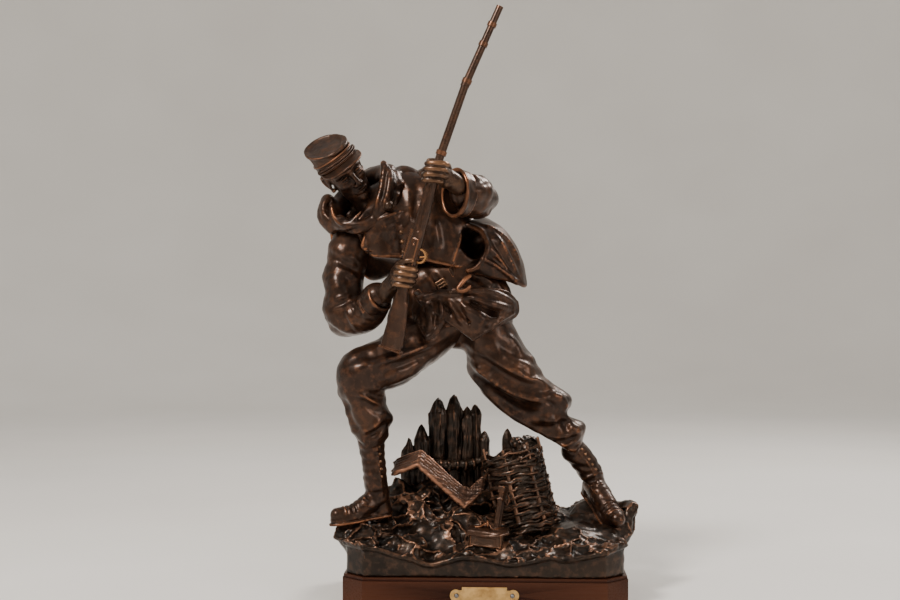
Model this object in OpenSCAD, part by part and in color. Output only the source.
// Patinated bronze statuette: a soldier in cape and kepi climbs over a breach with a rifle.
// The bronze is cast in sections that are dowelled together and bolted to a wooden plinth.
// Millimetres, +Z up, origin in the middle of the underside. The figure faces -Y.
// "Right" and "left" are the figure's own sides, so its right side lies towards -X.

/* [Plinth] */
// Width of the wooden plinth
plinth_w = 260; // [256:1:266]
// Depth of the wooden plinth
plinth_d = 150; // [148:1:158]
// Height of the plinth with its felt
plinth_h = 28; // [24:1:28]
// Length that each canted corner takes off the sides
corner_cant = 20; // [16:1:24]
// Thickness of the felt under the plinth
felt_t = 1.5; // [1:0.25:2]
// Width of the brass nameplate
nameplate_w = 62; // [54:1:70]
// Height of the brass nameplate
nameplate_h = 15; // [12:0.5:17]

/* [Terrace] */
// Height of the smooth band at the foot of the bronze ground
band_h = 19; // [16:1:20]
// Wall thickness of the hollow castings
wall = 3.5; // [3:0.25:4]
// Radius of the wicker gabion
gabion_r = 25; // [22:1:26]

/* [Figure] */
// Thickness of the cloth edges of the cape and the coat
cloth_t = 3; // [2.5:0.25:3.5]
// Radius of the kepi at its band
kepi_r = 20; // [19:0.5:20.5]
// Diameter of the dowels between the castings
dowel_d = 5; // [4:0.5:6]

/* [Rifle] */
// Diameter of the barrel at the left hand
barrel_d = 8; // [7:0.25:8.5]
// Diameter of the barrel at the muzzle
muzzle_d = 6.4; // [5.5:0.1:6.5]

/* [Hardware] */
// Thread diameter of the studs that hold the terrace down
stud_d = 6; // [5:0.5:6]

/* [Hidden] */

bronze = [0.24, 0.16, 0.12];
bronze_rubbed = [0.50, 0.30, 0.19];
bronze_ground = [0.22, 0.19, 0.14];
wood = [0.25, 0.11, 0.08];
brass = [0.72, 0.55, 0.25];
steel = [0.55, 0.55, 0.56];

organic_fn = 12;
core_fn = 8;
small_fn = 8;
bead_fn = 6;

// Joints of the pose, hip to toe and waist to hand
hip_right = [-38, 4, 257];
hip_left = [-6, 6, 260];
knee_right = [-113, -35, 209];
knee_left = [48, 4, 184];
ankle_right = [-103, -25, 112];
ankle_left = [101, 22, 110];
heel_right = [-97, -20, 84];
toe_right = [-137, -39, 79];
heel_left = [103, 22, 96];
toe_left = [123, -18, 73];
shoulder_right = [-132, -6, 331];
shoulder_left = [-68, 5, 382];
elbow_right = [-131, -15, 264];
elbow_left = [-9, -24, 374];
wrist_right = [-88, -50, 288];
wrist_left = [-28, -68, 383];
hand_right_c = [-75, -60, 301];
hand_left_c = [-43, -79, 391];
neck_base = [-111, -8, 366];

// The head is bowed towards the viewer and tilted to its right
head_c = [-133, -20, 398];
head_az = 222.6;
head_inc = 41.8;
head_roll = -16;

// The rifle: the stock leans one way and the barrel above the left hand another
butt_end = [-87, -61, 233];
fore_end = [-43, -81.5, 396];
barrel_bend = [-17, -81, 470];
muzzle_end = [14, -79.5, 540];
stock_l = norm(fore_end - butt_end);
barrel_l = norm(barrel_bend - fore_end);
tip_l = norm(muzzle_end - barrel_bend);
guard_z = 90;

felt_inset = 4;
tier_inset = 2;
band_top = plinth_h + band_h;
stud_xy = [for (sx = [-1, 1]) for (sy = [-1, 1]) [sx * 86, sy * 46]];
stud_top = plinth_h + 15;
counterbore_h = 9;
washer_t = 1.2;
nut_h = 5;
nut_d = 11;

function unit(v) = v / norm(v);
function xyz(p) = [p[0], p[1], p[2]];

// Catmull-Rom curve through points that may carry a radius as their fourth number
function curve_at(a, b, c, d, t) =
    0.5 * (2 * b + (c - a) * t + (2 * a - 5 * b + 4 * c - d) * t * t
    + (3 * b - a - 3 * c + d) * t * t * t);
function smooth(p, steps) = [
    for (i = [0:len(p) - 2]) for (k = [0:steps - 1])
        curve_at(p[max(i - 1, 0)], p[i], p[i + 1], p[min(i + 2, len(p) - 1)], k / steps),
    p[len(p) - 1]
];

// ---- Shared shapes ----

// A rounded limb through points [x, y, z, radius]
module limb(points, steps = 2, grow = 0, sides = organic_fn) {
    s = smooth(points, steps);
    for (i = [0:len(s) - 2])
        hull()
            for (p = [s[i], s[i + 1]])
                translate(xyz(p)) sphere(r = max(p[3] + grow, 0.6), $fn = sides);
}

// A wide rounded form through levels [right point, left point, radius]
module torso(levels, steps = 2, grow = 0, sides = organic_fn) {
    right = smooth([for (v = levels) v[0]], steps);
    left = smooth([for (v = levels) v[1]], steps);
    thick = smooth([for (v = levels) [v[2], 0, 0]], steps);
    for (i = [0:len(right) - 2])
        hull()
            for (k = [i, i + 1])
                for (p = [right[k], left[k]])
                    translate(p) sphere(r = thick[k][0] + grow, $fn = sides);
}

// A sheet of cloth through rows of points
module sheet(rows, t) {
    for (r = [0:len(rows) - 2])
        for (i = [0:len(rows[r]) - 2])
            hull()
                for (p = [rows[r][i], rows[r][i + 1], rows[r + 1][i], rows[r + 1][i + 1]])
                    translate(p) sphere(d = t, $fn = bead_fn);
}

// Places its children with +Z along the line from a to b
module along(a, b, roll = 0) {
    d = unit(b - a);
    translate(a) rotate([0, acos(d[2]), atan2(d[1], d[0])]) rotate([0, 0, roll]) children();
}

module dowel(at, towards, length, d = dowel_d) {
    along(at, towards) translate([0, 0, -length / 2]) cylinder(d = d, h = length, $fn = 24);
}

module canted(w, d, cant) {
    polygon([
        [-w / 2 + cant, -d / 2], [w / 2 - cant, -d / 2], [w / 2, -d / 2 + cant],
        [w / 2, d / 2 - cant], [w / 2 - cant, d / 2], [-w / 2 + cant, d / 2],
        [-w / 2, d / 2 - cant], [-w / 2, -d / 2 + cant]
    ]);
}

module at_studs() {
    for (p = stud_xy)
        translate([p[0], p[1], 0]) children();
}

// ---- Plinth ----

module felt_pad() {
    color("darkgreen") difference() {
        linear_extrude(felt_t)
            canted(plinth_w - 2 * felt_inset, plinth_d - 2 * felt_inset, corner_cant - 2);
        at_studs() translate([0, 0, -1]) cylinder(d = nut_d + 7, h = felt_t + 2, $fn = 32);
    }
}

module plinth() {
    lower_h = plinth_h - felt_t - 3;
    color(wood) difference() {
        union() {
            translate([0, 0, felt_t]) linear_extrude(lower_h)
                canted(plinth_w, plinth_d, corner_cant);
            translate([0, 0, felt_t + lower_h]) linear_extrude(3)
                canted(plinth_w - tier_inset, plinth_d - tier_inset, corner_cant - 0.5);
        }
        at_studs() {
            translate([0, 0, -1]) cylinder(d = stud_d + 1, h = plinth_h + 2, $fn = 32);
            translate([0, 0, -1]) cylinder(d = nut_d + 6, h = counterbore_h + 1, $fn = 32);
        }
        for (s = [-1, 1])
            nail_place(s) cylinder(d = 1.6, h = 7, center = true, $fn = 16);
    }
}

nail_x = nameplate_w / 2 - 6;
nameplate_z = felt_t + (plinth_h - felt_t - 3) / 2;
nameplate_t = 1.2;

module nail_place(side) {
    translate([side * nail_x, -plinth_d / 2, nameplate_z]) rotate([90, 0, 0]) children();
}

module nameplate_outline() {
    end_r = nameplate_h * 0.36;
    square([nameplate_w - 4 * end_r, nameplate_h], center = true);
    square([nameplate_w - 2 * end_r, nameplate_h * 0.62], center = true);
    for (s = [-1, 1])
        translate([s * (nameplate_w / 2 - end_r), 0]) circle(r = end_r, $fn = 32);
}

module nameplate() {
    color(brass) difference() {
        translate([0, -plinth_d / 2, nameplate_z]) rotate([90, 0, 0])
            linear_extrude(nameplate_t) nameplate_outline();
        for (s = [-1, 1])
            nail_place(s) cylinder(d = 1.6, h = 7, center = true, $fn = 16);
    }
}

module nameplate_nails() {
    color("dimgray")
        for (s = [-1, 1])
            nail_place(s) {
                translate([0, 0, -3.5]) cylinder(d = 1.6, h = 3.5 + nameplate_t, $fn = 16);
                translate([0, 0, nameplate_t]) intersection() {
                    sphere(d = 4.4, $fn = 24);
                    translate([0, 0, 2]) cube([6, 6, 4], center = true);
                }
            }
}

// ---- Bronze ground ----

// Hummocks of the rough ground: [x, y, z of the top, radius in x, radius in y]
mounds = [
    [-108, -28, 69, 33, 27], [-84, 6, 74, 42, 36], [-118, 16, 66, 17, 34], [-70, -42, 60, 32, 26],
    [-40, 18, 76, 44, 44], [-38, -30, 66, 34, 28], [-6, -50, 55, 30, 20], [10, -6, 70, 46, 40],
    [28, -44, 58, 38, 24], [52, 24, 78, 46, 40], [82, -16, 69, 42, 44], [72, -50, 54, 36, 20],
    [100, 26, 82, 32, 36], [112, -8, 66, 22, 40], [-100, -56, 55, 24, 14], [100, -54, 53, 22, 14],
    [0, 48, 66, 90, 24], [-84, 48, 60, 36, 22], [86, 50, 66, 36, 20]
];
// Crest that rises behind the left foot and the lip that juts out under the right toe
lips = [
    [[112, 34, 62], [130, 26, 66], [126, -2, 58], 15],
    [[-116, -36, 48], [-128, -32, 56], [-118, -20, 54], 12]
];

module mound(m, grow = 0) {
    foot = band_top - 8;
    hull() {
        translate([m[0], m[1], foot])
            scale([m[3] + grow, m[4] + grow, 1]) cylinder(r = 1, h = 3, $fn = 10);
        translate([m[0], m[1], (foot + m[2]) / 2 + 2])
            scale([m[3] * 0.8 + grow, m[4] * 0.8 + grow, 1]) cylinder(r = 1, h = 3, $fn = 10);
        translate([m[0], m[1], m[2] - 2 + grow])
            scale([m[3] * 0.35, m[4] * 0.35, 1]) cylinder(r = 1, h = 2, $fn = 8);
    }
}

module ground_form() {
    translate([0, 0, plinth_h]) linear_extrude(band_h)
        canted(plinth_w - 4, plinth_d - 4, corner_cant - 1);
    intersection() {
        for (m = mounds)
            mound(m);
        translate([0, 0, plinth_h]) linear_extrude(90)
            canted(plinth_w - 5, plinth_d - 5, corner_cant - 1);
    }
    for (lip = lips)
        hull()
            for (k = [0:2])
                translate(lip[k]) sphere(r = lip[3], $fn = 12);
}

module terrace() {
    color(bronze_ground) difference() {
        ground_form();
        difference() {
            intersection() {
                union() {
                    translate([0, 0, plinth_h - 1]) linear_extrude(band_h - wall)
                        canted(plinth_w - 4 - 2 * wall, plinth_d - 4 - 2 * wall, corner_cant - 3);
                    for (m = mounds)
                        if (m[3] > 40)
                            mound(m, -wall - 1);
                }
                translate([0, 0, plinth_h - 1]) linear_extrude(90)
                    canted(plinth_w - 4 - 2 * wall, plinth_d - 4 - 2 * wall, corner_cant - 3);
            }
            at_studs() cylinder(d = stud_d + 9, h = 90, $fn = 20);
        }
        at_studs() cylinder(d = stud_d, h = stud_top, $fn = 24);
        foot_stud_lines() cylinder(d = dowel_d, h = 60, center = true, $fn = 20);
        shoe_form(shoe_points_right);
        shoe_form(shoe_points_left);
        pouch_place() translate([0, 0, -2]) cube([pouch_l, pouch_d, 8], center = true);
    }
}

module terrace_studs() {
    color(steel) at_studs()
        translate([0, 0, 2.5]) cylinder(d = stud_d, h = stud_top - 2.5, $fn = 24);
}

module terrace_washers() {
    color(steel) at_studs()
        translate([0, 0, counterbore_h - washer_t]) difference() {
            cylinder(d = nut_d + 4, h = washer_t, $fn = 32);
            translate([0, 0, -1]) cylinder(d = stud_d, h = washer_t + 2, $fn = 32);
        }
}

module terrace_nuts() {
    color(steel) at_studs()
        translate([0, 0, counterbore_h - washer_t - nut_h]) difference() {
            cylinder(d = nut_d, h = nut_h, $fn = 6);
            translate([0, 0, -1]) cylinder(d = stud_d, h = nut_h + 2, $fn = 32);
        }
}

// ---- Breach: palisade, gabion and what lies about ----

// Stakes of the palisade: [x, y, z of the point, radius]
stakes = [
    [-80, 24, 142, 5.5], [-66, 26, 155, 6.5], [-49, 28, 181, 7], [-34, 27, 183, 7.5],
    [-22, 28, 173, 6], [-13, 30, 174, 5], [-4, 24, 149, 4.5]
];
stake_foot = 66;

module stake(s, foot = stake_foot) {
    point_h = s[3] * 2.2;
    translate([s[0], s[1], foot]) cylinder(r = s[3], h = s[2] - foot - point_h, $fn = 8);
    translate([s[0], s[1], s[2] - point_h]) cylinder(r1 = s[3], r2 = 1, h = point_h, $fn = 8);
}

module palisade_stakes() {
    color(bronze_ground) difference() {
        for (s = stakes)
            stake(s);
        rail_form();
        ground_form();
    }
}

rail_points = [[-72, 14, 118, 4], [-50, 15, 120, 4.5], [-26, 16, 119, 5], [-2, 17, 123, 4]];

module rail_form() {
    limb(rail_points, steps = 3, sides = small_fn);
}

module palisade_rail() {
    color(bronze_ground) difference() {
        rail_form();
        gabion_form();
    }
}

module lone_stake() {
    color(bronze_ground) difference() {
        stake([20, 34, 153, 5]);
        ground_form();
        gabion_form();
    }
}

module bush() {
    color(bronze_ground) difference() {
        for (k = [0:8])
            hull() {
                translate([38, 26, 92]) sphere(r = 9, $fn = 8);
                translate([38 + 8 * cos(40 * k), 26 + 6 * sin(40 * k), 130 + 6 * (k % 3)])
                    sphere(r = 5, $fn = 8);
            }
        ground_form();
        gabion_form();
        stake([20, 34, 153, 5]);
    }
}

gabion_low = [42, -8, 58];
gabion_high = [24, 2, 134];
gabion_rings = 9;

module gabion_form() {
    along(gabion_low, gabion_high)
        cylinder(r1 = gabion_r + 8, r2 = gabion_r + 6, h = norm(gabion_high - gabion_low), $fn = 20);
}

// Woven wall, broken away at its upper edge
module gabion_weave() {
    h = norm(gabion_high - gabion_low);
    color(bronze_ground) difference() {
        along(gabion_low, gabion_high)
            for (k = [0:gabion_rings - 1])
                hull() {
                    translate([0, 0, h * k / gabion_rings])
                        cylinder(r = gabion_r + 5 + (k % 2), h = 1, $fn = 16);
                    translate([0, 0, h * (k + 1) / gabion_rings])
                        cylinder(r = gabion_r + 6 - (k % 2), h = 1, $fn = 16);
                }
        along(gabion_low, gabion_high) translate([0, 0, h / 2 - 6])
            cylinder(r = gabion_r, h = h, $fn = 20);
        gabion_post_lines(1.7);
        ground_form();
    }
}

module gabion_post_lines(r) {
    h = norm(gabion_high - gabion_low);
    along(gabion_low, gabion_high)
        for (k = [0:6])
            rotate([0, 0, k * 360 / 7]) translate([gabion_r + 2.2, 0, 14])
                cylinder(r = r, h = h - 6, $fn = 8);
}

module gabion_posts() {
    color(bronze_ground) gabion_post_lines(1.7);
}

// A plank broken and bent in its middle
plank_points = [[-84, -10, 120], [-62, -16, 129], [-40, -22, 110], [-18, -27, 92], [-4, -18, 104]];

module broken_plank() {
    color(bronze_rubbed)
        for (i = [0:len(plank_points) - 2])
            for (half = [0, 1])
                hull()
                    for (k = [half, half + 1]) {
                        p = plank_points[i] + (plank_points[i + 1] - plank_points[i]) * k / 2;
                        for (s = [-1, 1])
                            translate(p + [0, s * 6, s * 2.5]) sphere(d = 5, $fn = 8);
                    }
}

scabbard_top = [17, -44, 108];
scabbard_foot = [10, -52, 62];

module scabbard() {
    color(bronze_rubbed) difference() {
        along(scabbard_foot, scabbard_top, 20) {
            translate([-4.5, -2.5, 0]) cube([9, 5, 44]);
            translate([-5.5, -3.5, 40]) cube([11, 7, 6]);
        }
        ground_form();
        pouch_place() cube([pouch_l + 6, pouch_d + 6, pouch_h * 2], center = true);
    }
}

pouch_l = 33;
pouch_d = 17;
pouch_h = 15;

module pouch_place() {
    translate([2, -57, 62]) rotate([6, 5, -8]) children();
}

module pouch_box() {
    color(bronze_rubbed) pouch_place()
        translate([0, 0, -1]) cube([pouch_l - 2, pouch_d - 2, pouch_h - 2], center = true);
}

module pouch_flap() {
    color(bronze_rubbed) pouch_place() difference() {
        translate([0, -0.5, 0]) cube([pouch_l, pouch_d + 1, pouch_h], center = true);
        translate([0, 0, -1]) cube([pouch_l - 2, pouch_d - 2, pouch_h - 2], center = true);
        translate([0, 0, -pouch_h + 4]) cube([pouch_l + 2, pouch_d + 4, pouch_h], center = true);
    }
}

strap_points = [
    [-12, 0, 8.6, 1], [-6, -1, 10, 1.1], [-2, -2, 13, 1.6], [2, -2, 13, 1.6], [5, -4, 9.6, 1.1],
    [14, 4, 8.6, 1]
];

module pouch_strap() {
    color(bronze_rubbed) pouch_place() limb(strap_points, steps = 2, sides = 6);
}

// ---- Feet and legs ----

shoe_points_right = [
    concat(heel_right + [0, 0, -3], 9), concat(heel_right + [-4, -2, 9], 9.5),
    concat(heel_right + [-14, -8, 2], 9.5), concat(toe_right + [12, 6, 0], 9), concat(toe_right, 6.5)
];
shoe_points_left = [
    concat(heel_left + [-2, 6, -6], 8.5), concat(heel_left + [0, 2, 4], 10),
    concat(heel_left + [6, -12, -4], 10.5), concat(toe_left + [-3, 10, 2], 10), concat(toe_left, 7.5)
];

module shoe_form(points) {
    limb(points, steps = 2);
}

module foot_stud_lines() {
    translate(heel_right + [-12, -6, -28]) children();
    translate(heel_left + [6, -8, -30]) children();
}

module foot_studs() {
    color(steel) foot_stud_lines() cylinder(d = dowel_d, h = 34, center = true, $fn = 20);
}

module foot_nuts() {
    color(steel) foot_stud_lines() translate([0, 0, -14]) difference() {
        cylinder(d = 10, h = 4, $fn = 6);
        translate([0, 0, -1]) cylinder(d = dowel_d, h = 6, $fn = 20);
    }
}

module shoe_right() {
    color(bronze) difference() {
        shoe_form(shoe_points_right);
        foot_stud_lines() cylinder(d = dowel_d, h = 34, center = true, $fn = 20);
    }
}

module shoe_left() {
    color(bronze) difference() {
        shoe_form(shoe_points_left);
        foot_stud_lines() cylinder(d = dowel_d, h = 34, center = true, $fn = 20);
    }
}

gaiter_points_right = [
    concat(heel_right + [-4, -2, 12], 11), concat(ankle_right, 10.5),
    concat(ankle_right + [-2, 0, 18], 11), concat(ankle_right + [-4, -2, 36], 13)
];
gaiter_points_left = [
    concat(heel_left + [0, 2, 6], 11.5), concat(ankle_left, 11),
    concat(ankle_left + [-8, -3, 14], 11.5), concat(ankle_left + [-17, -6, 24], 12.5)
];

module gaiter_right() {
    color(bronze) difference() {
        limb(gaiter_points_right, steps = 3);
        shoe_form(shoe_points_right);
    }
}

module gaiter_left() {
    color(bronze) difference() {
        limb(gaiter_points_left, steps = 3);
        shoe_form(shoe_points_left);
    }
}

// Small buttons down the outer side of each gaiter
module gaiter_buttons() {
    color(bronze_rubbed)
        for (k = [0:4]) {
            translate(ankle_right + [7 - k * 0.6, -8.6 - k * 0.4, k * 7 + 2]) sphere(r = 1.2, $fn = 16);
            translate(ankle_left + [4 - k * 3.4, -10 - k * 1.4, k * 5 + 6]) sphere(r = 1.2, $fn = 16);
        }
}

trouser_points_right = [
    concat(hip_right + [2, 0, 6], 26), concat(hip_right + [-22, -9, -12], 27),
    concat(knee_right + [26, 10, 12], 25), concat(knee_right, 22),
    concat(knee_right + [1, 3, -26], 20.5), concat(ankle_right + [-4, -2, 44], 16),
    concat(ankle_right + [-3, -1, 32], 12)
];
trouser_points_left = [
    concat(hip_left + [0, 0, 4], 26), concat(hip_left + [18, -1, -36], 27),
    concat(hip_left + [36, -2, -56], 23.5), concat(knee_left, 20.5),
    concat(knee_left + [14, 5, -24], 17.5), concat(ankle_left + [-27, -8, 31], 16),
    concat(ankle_left + [-19, -5, 20], 12)
];

module trouser_right() {
    color(bronze) difference() {
        limb(trouser_points_right, steps = 2);
        limb(trouser_points_right, steps = 1, grow = -wall - 1, sides = core_fn);
        limb(gaiter_points_right, steps = 2);
        torso(coat_levels);
    }
}

module trouser_left() {
    color(bronze) difference() {
        limb(trouser_points_left, steps = 2);
        limb(trouser_points_left, steps = 1, grow = -wall - 1, sides = core_fn);
        limb(trouser_points_right, steps = 2);
        limb(gaiter_points_left, steps = 2);
        torso(coat_levels);
    }
}

// Dowels that pin the legs to the body
module waist_dowels() {
    color(steel) {
        dowel(hip_right + [4, 0, 8], hip_right + [14, 0, 24], 24);
        dowel(hip_left + [-4, 0, 8], hip_left + [-14, 0, 24], 24);
    }
}

// ---- Coat and cape ----

coat_levels = [
    [[-44, 3, 262], [-2, 5, 268], 25], [[-66, 0, 288], [-22, 3, 304], 23.5],
    [[-94, -3, 316], [-44, 3, 346], 26], [[-120, -6, 334], [-72, 3, 374], 24],
    [[-122, -8, 350], [-92, -2, 372], 17]
];
skirt_levels = [
    [[-62, 0, 290], [-20, 3, 304], 25], [[-60, 3, 272], [-6, 5, 284], 28],
    [[-62, 4, 258], [-4, 7, 272], 30], [[-62, 6, 244], [-6, 9, 262], 32]
];

// Skirt of the coat, open in front where its corners are turned back
module coat_skirt() {
    color(bronze) difference() {
        torso(skirt_levels);
        torso(skirt_levels, grow = -cloth_t);
        torso(coat_levels);
        translate([-130, -70, 190]) cube([260, 140, 48]);
        translate([-60, -80, 180]) rotate([0, 14, 0]) cube([58, 60, 100]);
        limb(trouser_points_right, steps = 2);
        limb(trouser_points_left, steps = 2);
        rifle_keepout();
    }
}

module coat_body() {
    color(bronze) difference() {
        torso(coat_levels);
        torso(coat_levels, steps = 1, grow = -wall - 2, sides = core_fn);
        head_form();
        dowel(hip_right + [4, 0, 8], hip_right + [14, 0, 24], 24);
        dowel(hip_left + [-4, 0, 8], hip_left + [-14, 0, 24], 24);
        belt_form();
    }
}

corner_rows_right = [
    [[-60, -30, 268], [-48, -37, 272], [-34, -37, 276]],
    [[-58, -36, 254], [-46, -41, 256], [-32, -39, 262]],
    [[-54, -37, 244], [-51, -42, 242], [-46, -41, 246]]
];
corner_rows_left = [
    [[-46, -35, 276], [-16, -42, 284], [12, -38, 284], [28, -22, 276]],
    [[-40, -39, 264], [-12, -46, 266], [12, -42, 266], [26, -26, 264]],
    [[-16, -40, 248], [-10, -43, 245], [-4, -42, 246], [8, -36, 254]]
];

module skirt_corner_right() {
    color(bronze) difference() {
        sheet(corner_rows_right, cloth_t);
        sheet(corner_rows_left, cloth_t);
        torso(skirt_levels);
        torso(coat_levels);
        limb(trouser_points_right, steps = 2);
        rifle_keepout();
    }
}

module skirt_corner_left() {
    color(bronze) difference() {
        sheet(corner_rows_left, cloth_t);
        torso(skirt_levels);
        torso(coat_levels);
        limb(trouser_points_left, steps = 2);
    }
}

// Hook that holds the turned-back corners together
module skirt_hook() {
    color(bronze_rubbed) {
        translate([-19, -41, 293]) rotate([80, 20, 0]) rotate_extrude($fn = 24)
            translate([4.2, 0]) circle(d = 2, $fn = 14);
        translate([-21, -42.5, 288]) sphere(r = 2, $fn = 16);
    }
}

belt_axis_low = [-44, 1.5, 288];
belt_axis_high = [-52, 0.8, 300];

module belt_form() {
    along(belt_axis_low, belt_axis_high) linear_extrude(9)
        difference() {
            scale([1.66, 1]) circle(r = 27.5, $fn = 36);
            scale([1.66, 1]) circle(r = 24.6, $fn = 36);
        }
}

module belt() {
    color(bronze) difference() {
        belt_form();
        belt_buckle_form();
    }
}

module belt_buckle_form() {
    translate([-41, -27, 292]) rotate([0, -32, 0]) cube([14, 4, 11], center = true);
}

module belt_buckle() {
    color(bronze_rubbed) belt_buckle_form();
}

cape_levels = [
    [[-76, -2, 298], [-22, 4, 316], 26], [[-91, -3, 310], [-28, 4, 334], 27],
    [[-101, -4, 322], [-42, 4, 354], 28], [[-121, -6, 336], [-71, 3, 376], 26],
    [[-124, -8, 352], [-92, -2, 374], 20]
];
cape_wing_rows = [
    [[-34, 24, 354], [-18, 18, 352], [-9, 8, 350], [-8, -6, 340], [-18, -24, 328]],
    [[-26, 34, 332], [2, 28, 334], [17, 15, 335], [16, -6, 320], [-4, -26, 312]],
    [[-22, 40, 306], [16, 34, 300], [33, 10, 305], [34, -4, 291], [8, -28, 300]]
];

// Short hooded cape, with a wing of cloth blown out behind the left hip
module cape() {
    color(bronze) difference() {
        union() {
            torso(cape_levels);
            sheet(cape_wing_rows, cloth_t);
        }
        torso(coat_levels);
        torso(skirt_levels);
        translate([-62, 0, 268]) rotate([0, -16, 0]) cube([180, 140, 52], center = true);
        head_form();
        belt_form();
        skirt_hook_space();
        rifle_keepout();
    }
}

module skirt_hook_space() {
    translate([-20, -44, 290]) sphere(r = 8, $fn = 12);
}

// Buttons of the cape: one large dome at the throat and the small row down its front
module cape_buttons() {
    color(bronze_rubbed) {
        translate([-88, -36, 365]) sphere(r = 3.4, $fn = 24);
        for (k = [0:2])
            translate([-78 + 1.5 * k, -32.5, 342 - 9 * k]) sphere(r = 1.8, $fn = 18);
    }
}

hood_points = [
    [-96, -28, 356, 7], [-88, -26, 372, 9], [-88, -14, 392, 10], [-96, 2, 398, 10],
    [-112, 14, 392, 11], [-132, 14, 376, 11], [-144, 0, 362, 10], [-144, -16, 356, 9],
    [-132, -29, 350, 8], [-116, -35, 346, 7]
];

module hood() {
    color(bronze) difference() {
        limb(hood_points, steps = 2, sides = 10);
        torso(cape_levels);
        torso(coat_levels);
        head_form();
        sleeve_form(sleeve_points_left);
        translate([-88, -36, 365]) sphere(r = 3.4, $fn = 24);
    }
}

// ---- Head ----

module head_place() {
    translate(head_c) rotate([0, head_inc, head_az]) rotate([0, 0, head_roll]) children();
}

// Skull, jaw and neck: the face is a plain ovoid here
module head_form() {
    head_place() {
        hull() {
            translate([0, -3, 8]) sphere(r = 18.5, $fn = organic_fn);
            translate([0, 5, -6]) sphere(r = 14, $fn = organic_fn);
        }
        hull() {
            translate([0, 8, -10]) sphere(r = 12, $fn = organic_fn);
            translate([0, 12, -22]) sphere(r = 7, $fn = organic_fn);
        }
        hull() {
            translate([0, 20, -4]) sphere(r = 3, $fn = 10);
            translate([0, 19, 4]) sphere(r = 2, $fn = 10);
        }
        for (s = [-1, 1])
            hull() {
                translate([18 * s, -3, 0]) sphere(r = 3, $fn = 10);
                translate([18 * s, -4, 4]) sphere(r = 3, $fn = 10);
            }
    }
    neck_top = head_c + [2, 8, -6];
    for (k = [0:2])
        hull() {
            translate(neck_top + (neck_base - neck_top) * k / 3) sphere(r = 12.5, $fn = organic_fn);
            translate(neck_top + (neck_base - neck_top) * (k + 1) / 3)
                sphere(r = 12.5, $fn = organic_fn);
        }
}

// Everything above the rim of the kepi, which sits on the cut head like a cap
module above_rim() {
    kepi_place() cylinder(r = 2 * kepi_r, h = 3 * kepi_r, $fn = 24);
}

module head() {
    color(bronze) difference() {
        head_form();
        above_rim();
        head_place() translate([0, -4, 10]) sphere(r = 12, $fn = core_fn);
        dowel(neck_base, head_c, 90);
    }
}

module neck_dowel() {
    color(steel) dowel(neck_base, head_c, 26);
}

kepi_low = 12;
kepi_h = 22;
kepi_band_h = 8;
kepi_wall = 2.5;

module kepi_place() {
    head_place() translate([0, -1, kepi_low]) rotate([6, 0, 0]) children();
}

module kepi_band() {
    color(bronze) kepi_place() difference() {
        cylinder(r = kepi_r, h = kepi_band_h, $fn = 48);
        translate([0, 0, -1]) cylinder(r = kepi_r - kepi_wall, h = kepi_band_h + 2, $fn = 48);
    }
}

module kepi_crown() {
    side_h = kepi_h - kepi_band_h;
    color(bronze) kepi_place() translate([0, 0, kepi_band_h]) difference() {
        union() {
            cylinder(r = kepi_r - 0.8, h = side_h, $fn = 48);
            translate([0, 0, side_h]) cylinder(r1 = kepi_r + 0.8, r2 = kepi_r, h = 2.5, $fn = 48);
        }
        translate([0, 0, -1]) cylinder(r = kepi_r - 0.8 - kepi_wall, h = side_h, $fn = 48);
    }
}

module kepi_visor() {
    color(bronze) difference() {
        head_place() translate([0, -1, kepi_low + 1]) rotate([-12, 0, 0]) difference() {
            translate([0, 8, 0]) scale([1, 1.25, 1]) cylinder(r = kepi_r + 1, h = 2, $fn = 40);
            translate([-40, -48, -3]) cube([80, 52, 10]);
        }
        above_rim();
        head_form();
    }
}

module kepi_strap() {
    color(bronze_rubbed) {
        kepi_place() translate([0, 0, 2])
            intersection() {
                difference() {
                    cylinder(r = kepi_r + 1.2, h = 3, $fn = 40);
                    translate([0, 0, -1]) cylinder(r = kepi_r, h = 5, $fn = 40);
                }
                translate([-40, 2, 0]) cube([80, 40, 3]);
            }
    }
}

// ---- Arms ----

sleeve_points_right = [
    concat(shoulder_right + [6, 1, 2], 20), concat(shoulder_right + [-2, 0, -24], 20),
    concat(elbow_right + [-1, 2, 24], 18.5), concat(elbow_right + [1, 0, 2], 20.5),
    concat(elbow_right + [20, -14, 2], 17), concat(wrist_right + [-12, 8, -8], 14.5)
];
sleeve_points_left = [
    concat(shoulder_left, 19), concat(shoulder_left + [22, -3, 4], 18.5),
    concat(elbow_left + [-18, 8, 4], 19), concat(elbow_left, 19.5),
    concat(elbow_left + [-5, -18, 2], 18), concat(wrist_left + [6, 14, -2], 15)
];

module sleeve_form(points) {
    limb(points, steps = 2);
}

module sleeve_core(points) {
    limb(points, steps = 1, grow = -wall - 1, sides = core_fn);
}

module sleeve_right() {
    color(bronze) difference() {
        sleeve_form(sleeve_points_right);
        sleeve_core(sleeve_points_right);
        torso(coat_levels);
        torso(cape_levels);
        cuff_form(cuff_points_right);
    }
}

module sleeve_left() {
    color(bronze) difference() {
        sleeve_form(sleeve_points_left);
        sleeve_core(sleeve_points_left);
        torso(coat_levels);
        torso(cape_levels);
        cuff_form(cuff_points_left);
        rifle_keepout();
    }
}

module shoulder_dowels() {
    color(steel) {
        dowel(shoulder_right, shoulder_right + [-20, 0, -26], 30);
        dowel(shoulder_left, shoulder_left + [24, -6, 2], 30);
    }
}

cuff_points_right = [
    concat(wrist_right + [-12, 9, -7], 15.5), concat(wrist_right + [-3, 3, -1], 14)
];
cuff_points_left = [
    concat(wrist_left + [8, 16, -6], 17), concat(wrist_left + [1, 3, -2], 15)
];

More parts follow.
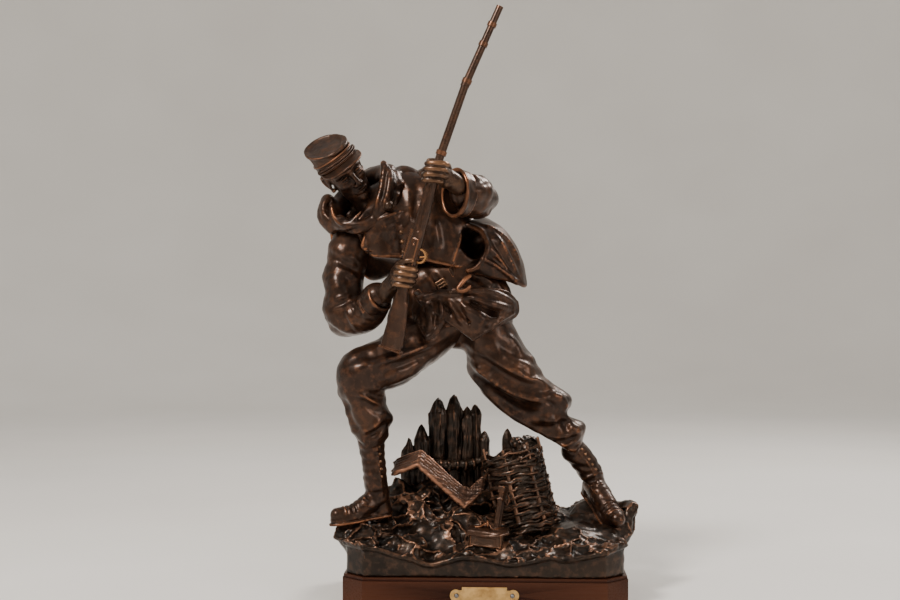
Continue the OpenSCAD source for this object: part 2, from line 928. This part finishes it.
module cuff_form(points) {
    limb(points, steps = 8);
}

module cuff(points, hand, wrist) {
    color(bronze) difference() {
        cuff_form(points);
        along(wrist, hand) translate([0, 0, -8]) cylinder(r1 = 8, r2 = 11.5, h = 22, $fn = 20);
        along(wrist, hand) translate([0, 0, 5]) cylinder(r = 30, h = 40, $fn = 20);
        children();
    }
}

module cuff_right() {
    cuff(cuff_points_right, hand_right_c, wrist_right) {
        rifle_keepout();
    }
}

module cuff_left() {
    cuff(cuff_points_left, hand_left_c, wrist_left) {
        rifle_keepout();
    }
}

module wrist_dowels() {
    color(steel) {
        dowel(wrist_right, hand_right_c, 16, dowel_d - 1);
        dowel(wrist_left, hand_left_c, 14, dowel_d - 1);
    }
}

// A fist round the rifle: four stacked fingers, a thumb and the back of the hand
module hand(centre, wrist, axis_low, axis_high, side, turn, hold_r) {
    color(bronze_rubbed) difference() {
        union() {
            hull() {
                translate(wrist) sphere(r = 7.5, $fn = organic_fn);
                translate(centre + (wrist - centre) * 0.35) sphere(r = 9, $fn = organic_fn);
            }
            along(axis_low, axis_high)
                translate([0, 0, norm(centre - axis_low)])
                    for (k = [0:3])
                        for (bend = [0, 1])
                            hull()
                                for (e = [bend, bend + 1])
                                    rotate([0, 0, side + turn * e])
                                        translate([hold_r + 2, 0, 8 - 5.2 * k])
                                            sphere(r = 3, $fn = small_fn);
            along(axis_low, axis_high)
                translate([0, 0, norm(centre - axis_low)])
                    hull() {
                        rotate([0, 0, side - turn / 2]) translate([hold_r + 3, 0, 2])
                            sphere(r = 4, $fn = small_fn);
                        rotate([0, 0, side - turn]) translate([hold_r + 2, 0, 13])
                            sphere(r = 3, $fn = small_fn);
                    }
        }
        children();
        dowel(wrist, centre, 16, dowel_d - 1);
    }
}

module hand_right() {
    hand(hand_right_c, wrist_right, butt_end, fore_end, 206, 66, 5.4)
        stock_place() translate([-1.5, 0, 45]) cylinder(r1 = 4.9, r2 = 6.4, h = 55, $fn = 19);
}

module hand_left() {
    hand(hand_left_c, wrist_left, butt_end, fore_end, 27, -61, 6.6) {
        stock_place() cylinder(r = 5.3, h = stock_l + 1, $fn = 17);
        barrel_place() cylinder(d = barrel_d + 0.3, h = barrel_l, $fn = 19);
    }
}

// ---- Rifle ----

module stock_place() {
    along(butt_end, fore_end, 4) children();
}

module barrel_place() {
    along(fore_end, barrel_bend, -24) children();
}

module tip_place() {
    along(barrel_bend, muzzle_end, -24) children();
}

butt_plate_t = 2;
wrist_z = 62;
receiver_z = 84;
receiver_l = 28;

// Sections of the stock from the butt to the fore-end: [x, height, radius, stretch in x]
stock_sections = [
    [0, 40, 5, 1.5], [-2, wrist_z, 4.6, 1], [-1, receiver_z, 6, 1], [0, stock_l - 1, 5, 1]
];

module stock_section(v) {
    translate([v[0], 0, v[1]]) scale([v[3], 1, 1]) cylinder(r = v[2], h = 1, $fn = 20);
}

module stock_form() {
    hull() {
        translate([-9, -3.5, butt_plate_t]) cube([21, 7, 1]);
        stock_section(stock_sections[0]);
    }
    for (i = [0:2])
        hull() {
            stock_section(stock_sections[i]);
            stock_section(stock_sections[i + 1]);
        }
}

// Room that the hands and clothes leave for the rifle
module rifle_keepout() {
    stock_place() {
        translate([1, 0, -0.5]) scale([1.75, 1, 1]) cylinder(r = 7, h = 42, $fn = 20);
        translate([-1, 0, 40]) scale([1.3, 1, 1]) cylinder(r = 6.2, h = stock_l - 40, $fn = 20);
        translate([4, -2.5, guard_z - 12]) cube([10, 5, 26]);
    }
    barrel_place() cylinder(d = barrel_d + 0.6, h = barrel_l, $fn = 20);
}

module rifle_stock() {
    color(bronze) difference() {
        stock_place() stock_form();
        stock_place() translate([-5, 0, receiver_z]) cylinder(d = 8.4, h = receiver_l, $fn = 24);
        barrel_place() translate([0, 0, -barrel_root]) cylinder(d = barrel_d, h = 12, $fn = 24);
    }
}

module butt_plate() {
    color(bronze_rubbed) stock_place() translate([-9.5, -4, 0]) cube([22, 8, butt_plate_t]);
}

// Breech of the rifle, bored for its bolt
module receiver() {
    color(bronze) stock_place() translate([-5, 0, receiver_z]) difference() {
        cylinder(d = 8.4, h = receiver_l, $fn = 24);
        translate([0, 0, -1]) cylinder(d = 4.4, h = 20, $fn = 24);
    }
}

module bolt() {
    color(bronze_rubbed) stock_place() translate([-5, 0, receiver_z - 4]) {
        cylinder(d = 4.4, h = 22, $fn = 24);
        translate([0, 0, -2]) cylinder(d = 6, h = 3, $fn = 24);
        translate([0, 0, 1]) rotate([-90, 0, 0]) cylinder(d = 2.4, h = 8, $fn = 16);
        translate([0, 9, 1]) sphere(d = 5, $fn = 20);
    }
}

module trigger_guard() {
    color(bronze_rubbed) stock_place() translate([6.5, 0, guard_z]) {
        rotate([90, 0, 0]) rotate_extrude(angle = 360, $fn = 28)
            translate([6, 0]) square([1.6, 3.4], center = true);
        translate([0, 0, -1]) rotate([0, 70, 0]) cylinder(d = 1.4, h = 5, $fn = 12);
    }
}

barrel_root = 8;
bend_d = (barrel_d + muzzle_d) / 2;

// Barrel, slightly bent where its upper length meets the lower
module barrel() {
    color(bronze) {
        barrel_place() translate([0, 0, -barrel_root])
            cylinder(d1 = barrel_d, d2 = bend_d, h = barrel_l + barrel_root, $fn = 32);
        tip_place() translate([0, 0, -2]) cylinder(d = bend_d + 1, h = 3.5, $fn = 32);
        tip_place() difference() {
            cylinder(d1 = bend_d, d2 = muzzle_d, h = tip_l, $fn = 32);
            translate([0, 0, tip_l - 6]) cylinder(d = 3, h = 8, $fn = 24);
        }
    }
}

band_w = 4;

module barrel_band(d) {
    difference() {
        cylinder(d = d + 1.8, h = band_w, $fn = 32);
        translate([0, 0, -1]) cylinder(d = d, h = band_w + 2, $fn = 32);
    }
}

// Bands that tie the barrel down
module barrel_bands() {
    color(bronze) {
        barrel_place() translate([0, 0, 12]) barrel_band(barrel_d);
        tip_place() {
            translate([0, 0, 1.5]) barrel_band(bend_d);
            for (z = [tip_l * 0.49, tip_l * 0.74])
                translate([0, 0, z]) barrel_band(muzzle_d + 0.2);
        }
    }
}

felt_pad();
plinth();
nameplate();
nameplate_nails();
terrace();
terrace_studs();
terrace_washers();
terrace_nuts();
palisade_stakes();
palisade_rail();
lone_stake();
bush();
gabion_weave();
gabion_posts();
broken_plank();
scabbard();
pouch_box();
pouch_flap();
pouch_strap();
foot_studs();
foot_nuts();
shoe_right();
shoe_left();
gaiter_right();
gaiter_left();
gaiter_buttons();
trouser_right();
trouser_left();
waist_dowels();
coat_body();
coat_skirt();
skirt_corner_right();
skirt_corner_left();
skirt_hook();
belt();
belt_buckle();
cape();
cape_buttons();
hood();
neck_dowel();
head();
kepi_band();
kepi_crown();
kepi_visor();
kepi_strap();
sleeve_right();
sleeve_left();
shoulder_dowels();
cuff_right();
cuff_left();
wrist_dowels();
hand_right();
hand_left();
rifle_stock();
butt_plate();
receiver();
bolt();
trigger_guard();
barrel();
barrel_bands();
